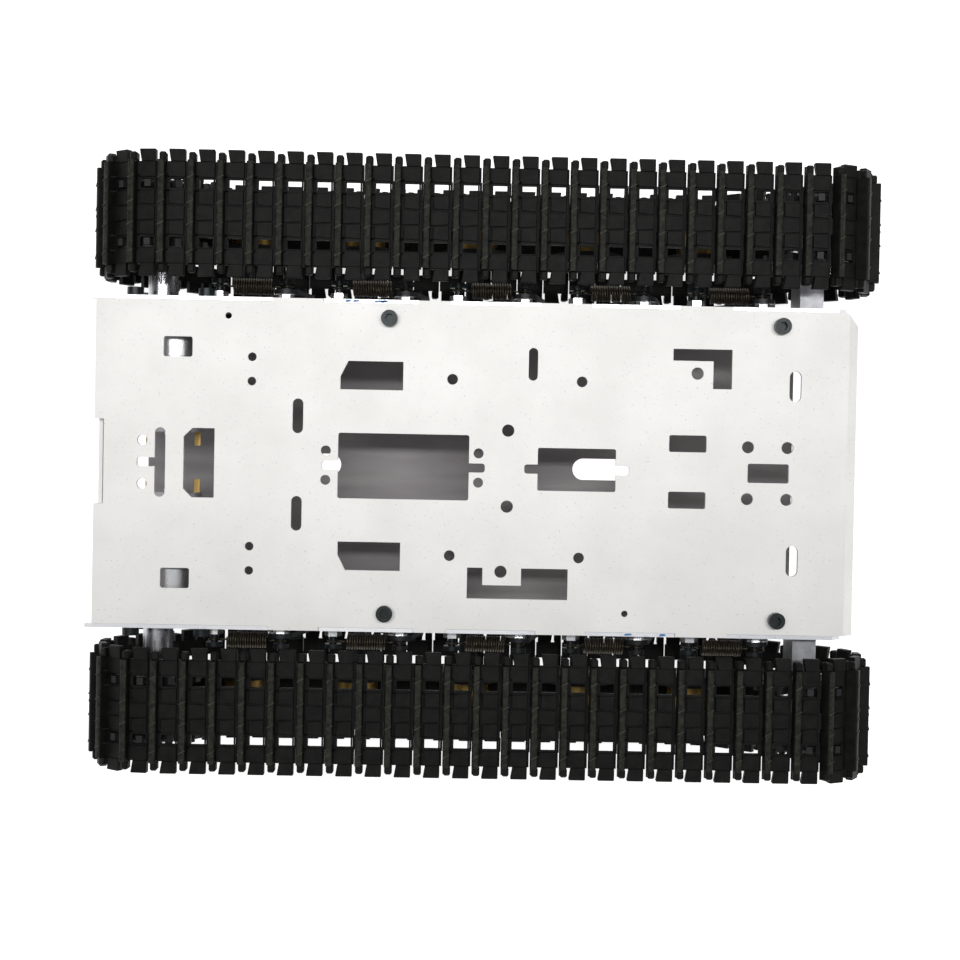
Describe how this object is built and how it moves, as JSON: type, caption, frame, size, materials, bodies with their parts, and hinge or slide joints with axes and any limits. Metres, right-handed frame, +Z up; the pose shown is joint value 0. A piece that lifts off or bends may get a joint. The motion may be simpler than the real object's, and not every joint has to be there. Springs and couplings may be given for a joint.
{
  "type": "tracked robot chassis",
  "caption": "Tracked robot tank chassis: punched aluminium deck on a sheet metal hull, link tracks round toothed end wheels, sprung road wheels, gearmotors and sliding idlers.",
  "frame": {"origin": "centre of the bounding box, on the ground", "axes": "+X forward, to the bevelled nose; +Y left; +Z up"},
  "size_m": [0.4177, 0.3222, 0.1108],
  "materials": {
    "steel_pin": "plain",
    "track_plastic": "moulded",
    "wheel_plastic": "moulded",
    "black_steel": "semi-matt",
    "spring_steel": "oiled",
    "sprocket_plastic": "moulded",
    "carrier_alloy": "machined",
    "bright_steel": "turned",
    "deck_alloy": "satin",
    "frame_alloy": "satin",
    "gearbox_steel": "turned",
    "bracket_alloy": "satin",
    "motor_can": "satin",
    "post_alloy": "machined",
    "black_oxide": "black oxide"
  },
  "bodies": {
    "chassis": {"bracket_screws": "black_oxide", "deck_pillars": "post_alloy", "deck_plate": "deck_alloy", "deck_screws": "black_oxide", "flange_screws": "black_oxide", "floor_plate": "frame_alloy", "floor_screws": "black_oxide", "gearbox_left": "gearbox_steel", "gearbox_right": "gearbox_steel", "motor_bracket_left": "bracket_alloy", "motor_bracket_right": "bracket_alloy", "motor_left": "motor_can", "motor_right": "motor_can", "pivot_bolts": "black_oxide", "post_screws": "black_oxide", "side_plate_left": "frame_alloy", "side_plate_right": "frame_alloy", "spring_posts": "post_alloy", "springs_left": "spring_steel", "springs_right": "spring_steel", "track_left": "track_plastic", "track_pins_left": "steel_pin", "track_pins_right": "steel_pin", "track_right": "track_plastic"},
    "drive_left": {"sprocket_left": "sprocket_plastic", "drive_hub_left": "bright_steel"},
    "tensioner_left": {"idler_carrier_left": "carrier_alloy", "idler_clamp_left": "bright_steel"},
    "idler_wheel_left": {"idler_left": "sprocket_plastic"},
    "arm_left_1": {"arm_left_1": "black_steel"},
    "wheel_left_1": {"wheel_left_1": "wheel_plastic"},
    "arm_left_2": {"arm_left_2": "black_steel"},
    "wheel_left_2": {"wheel_left_2": "wheel_plastic"},
    "arm_left_3": {"arm_left_3": "black_steel"},
    "wheel_left_3": {"wheel_left_3": "wheel_plastic"},
    "arm_left_4": {"arm_left_4": "black_steel"},
    "wheel_left_4": {"wheel_left_4": "wheel_plastic"},
    "arm_left_5": {"arm_left_5": "black_steel"},
    "wheel_left_5": {"wheel_left_5": "wheel_plastic"},
    "drive_right": {"sprocket_right": "sprocket_plastic", "drive_hub_right": "bright_steel"},
    "tensioner_right": {"idler_carrier_right": "carrier_alloy", "idler_clamp_right": "bright_steel"},
    "idler_wheel_right": {"idler_right": "sprocket_plastic"},
    "arm_right_1": {"arm_right_1": "black_steel"},
    "wheel_right_1": {"wheel_right_1": "wheel_plastic"},
    "arm_right_2": {"arm_right_2": "black_steel"},
    "wheel_right_2": {"wheel_right_2": "wheel_plastic"},
    "arm_right_3": {"arm_right_3": "black_steel"},
    "wheel_right_3": {"wheel_right_3": "wheel_plastic"},
    "arm_right_4": {"arm_right_4": "black_steel"},
    "wheel_right_4": {"wheel_right_4": "wheel_plastic"},
    "arm_right_5": {"arm_right_5": "black_steel"},
    "wheel_right_5": {"wheel_right_5": "wheel_plastic"}
  },
  "joints": [
    {"name": "drive_left", "type": "hinge", "parent": "chassis", "child": "drive_left", "pos_m": [-0.1737, 0.1285, 0.075], "axis": [0, 1, 0], "continuous": true, "deforming": ["track_left", "track_pins_left"]},
    {"name": "tension_left", "type": "slide", "parent": "chassis", "child": "tensioner_left", "axis": [1, 0, 0], "range_m": [-0.005, 0.003], "deforming": ["track_left", "track_pins_left"]},
    {"name": "idler_left", "type": "hinge", "parent": "tensioner_left", "child": "idler_wheel_left", "pos_m": [0.17369, 0.1285, 0.075], "axis": [0, 1, 0], "continuous": true, "deforming": ["track_left", "track_pins_left"]},
    {"name": "suspension_left_1", "type": "hinge", "parent": "chassis", "child": "arm_left_1", "pos_m": [-0.1044, 0.0912, 0.058], "axis": [0, 1, 0], "range_deg": [0, 14], "stiffness_Nm_per_rad": 1.2, "springref_deg": -17.19, "deforming": ["springs_left"]},
    {"name": "wheel_spin_left_1", "type": "hinge", "parent": "arm_left_1", "child": "wheel_left_1", "pos_m": [-0.1334, 0.1285, 0.0285], "axis": [0, 1, 0], "continuous": true},
    {"name": "suspension_left_2", "type": "hinge", "parent": "chassis", "child": "arm_left_2", "pos_m": [-0.0411, 0.0912, 0.058], "axis": [0, 1, 0], "range_deg": [0, 14], "stiffness_Nm_per_rad": 1.2, "springref_deg": -17.19, "deforming": ["springs_left"]},
    {"name": "wheel_spin_left_2", "type": "hinge", "parent": "arm_left_2", "child": "wheel_left_2", "pos_m": [-0.0701, 0.1285, 0.0285], "axis": [0, 1, 0], "continuous": true},
    {"name": "suspension_left_3", "type": "hinge", "parent": "chassis", "child": "arm_left_3", "pos_m": [0.0222, 0.0912, 0.058], "axis": [0, 1, 0], "range_deg": [0, 14], "stiffness_Nm_per_rad": 1.2, "springref_deg": -17.19, "deforming": ["springs_left"]},
    {"name": "wheel_spin_left_3", "type": "hinge", "parent": "arm_left_3", "child": "wheel_left_3", "pos_m": [-0.0068, 0.1285, 0.0285], "axis": [0, 1, 0], "continuous": true},
    {"name": "suspension_left_4", "type": "hinge", "parent": "chassis", "child": "arm_left_4", "pos_m": [0.0855, 0.0912, 0.058], "axis": [0, 1, 0], "range_deg": [0, 14], "stiffness_Nm_per_rad": 1.2, "springref_deg": -17.19, "deforming": ["springs_left"]},
    {"name": "wheel_spin_left_4", "type": "hinge", "parent": "arm_left_4", "child": "wheel_left_4", "pos_m": [0.0565, 0.1285, 0.0285], "axis": [0, 1, 0], "continuous": true},
    {"name": "suspension_left_5", "type": "hinge", "parent": "chassis", "child": "arm_left_5", "pos_m": [0.1488, 0.0912, 0.058], "axis": [0, 1, 0], "range_deg": [0, 14], "stiffness_Nm_per_rad": 1.2, "springref_deg": -17.19, "deforming": ["springs_left"]},
    {"name": "wheel_spin_left_5", "type": "hinge", "parent": "arm_left_5", "child": "wheel_left_5", "pos_m": [0.1198, 0.1285, 0.0285], "axis": [0, 1, 0], "continuous": true},
    {"name": "drive_right", "type": "hinge", "parent": "chassis", "child": "drive_right", "pos_m": [-0.1737, -0.1285, 0.075], "axis": [0, 1, 0], "continuous": true, "deforming": ["track_right", "track_pins_right"]},
    {"name": "tension_right", "type": "slide", "parent": "chassis", "child": "tensioner_right", "axis": [1, 0, 0], "range_m": [-0.005, 0.003], "deforming": ["track_right", "track_pins_right"]},
    {"name": "idler_right", "type": "hinge", "parent": "tensioner_right", "child": "idler_wheel_right", "pos_m": [0.17369, -0.1285, 0.075], "axis": [0, 1, 0], "continuous": true, "deforming": ["track_right", "track_pins_right"]},
    {"name": "suspension_right_1", "type": "hinge", "parent": "chassis", "child": "arm_right_1", "pos_m": [-0.1044, -0.0912, 0.058], "axis": [0, 1, 0], "range_deg": [0, 14], "stiffness_Nm_per_rad": 1.2, "springref_deg": -17.19, "deforming": ["springs_right"]},
    {"name": "wheel_spin_right_1", "type": "hinge", "parent": "arm_right_1", "child": "wheel_right_1", "pos_m": [-0.1334, -0.1285, 0.0285], "axis": [0, 1, 0], "continuous": true},
    {"name": "suspension_right_2", "type": "hinge", "parent": "chassis", "child": "arm_right_2", "pos_m": [-0.0411, -0.0912, 0.058], "axis": [0, 1, 0], "range_deg": [0, 14], "stiffness_Nm_per_rad": 1.2, "springref_deg": -17.19, "deforming": ["springs_right"]},
    {"name": "wheel_spin_right_2", "type": "hinge", "parent": "arm_right_2", "child": "wheel_right_2", "pos_m": [-0.0701, -0.1285, 0.0285], "axis": [0, 1, 0], "continuous": true},
    {"name": "suspension_right_3", "type": "hinge", "parent": "chassis", "child": "arm_right_3", "pos_m": [0.0222, -0.0912, 0.058], "axis": [0, 1, 0], "range_deg": [0, 14], "stiffness_Nm_per_rad": 1.2, "springref_deg": -17.19, "deforming": ["springs_right"]},
    {"name": "wheel_spin_right_3", "type": "hinge", "parent": "arm_right_3", "child": "wheel_right_3", "pos_m": [-0.0068, -0.1285, 0.0285], "axis": [0, 1, 0], "continuous": true},
    {"name": "suspension_right_4", "type": "hinge", "parent": "chassis", "child": "arm_right_4", "pos_m": [0.0855, -0.0912, 0.058], "axis": [0, 1, 0], "range_deg": [0, 14], "stiffness_Nm_per_rad": 1.2, "springref_deg": -17.19, "deforming": ["springs_right"]},
    {"name": "wheel_spin_right_4", "type": "hinge", "parent": "arm_right_4", "child": "wheel_right_4", "pos_m": [0.0565, -0.1285, 0.0285], "axis": [0, 1, 0], "continuous": true},
    {"name": "suspension_right_5", "type": "hinge", "parent": "chassis", "child": "arm_right_5", "pos_m": [0.1488, -0.0912, 0.058], "axis": [0, 1, 0], "range_deg": [0, 14], "stiffness_Nm_per_rad": 1.2, "springref_deg": -17.19, "deforming": ["springs_right"]},
    {"name": "wheel_spin_right_5", "type": "hinge", "parent": "arm_right_5", "child": "wheel_right_5", "pos_m": [0.1198, -0.1285, 0.0285], "axis": [0, 1, 0], "continuous": true}
  ],
  "couplings": [
    {"joint": "idler_left", "follows": "drive_left", "ratio": 1},
    {"joint": "wheel_spin_left_1", "follows": "drive_left", "ratio": 1.4809},
    {"joint": "wheel_spin_left_2", "follows": "drive_left", "ratio": 1.4809},
    {"joint": "wheel_spin_left_3", "follows": "drive_left", "ratio": 1.4809},
    {"joint": "wheel_spin_left_4", "follows": "drive_left", "ratio": 1.4809},
    {"joint": "wheel_spin_left_5", "follows": "drive_left", "ratio": 1.4809},
    {"joint": "idler_right", "follows": "drive_right", "ratio": 1},
    {"joint": "wheel_spin_right_1", "follows": "drive_right", "ratio": 1.4809},
    {"joint": "wheel_spin_right_2", "follows": "drive_right", "ratio": 1.4809},
    {"joint": "wheel_spin_right_3", "follows": "drive_right", "ratio": 1.4809},
    {"joint": "wheel_spin_right_4", "follows": "drive_right", "ratio": 1.4809},
    {"joint": "wheel_spin_right_5", "follows": "drive_right", "ratio": 1.4809}
  ]
}
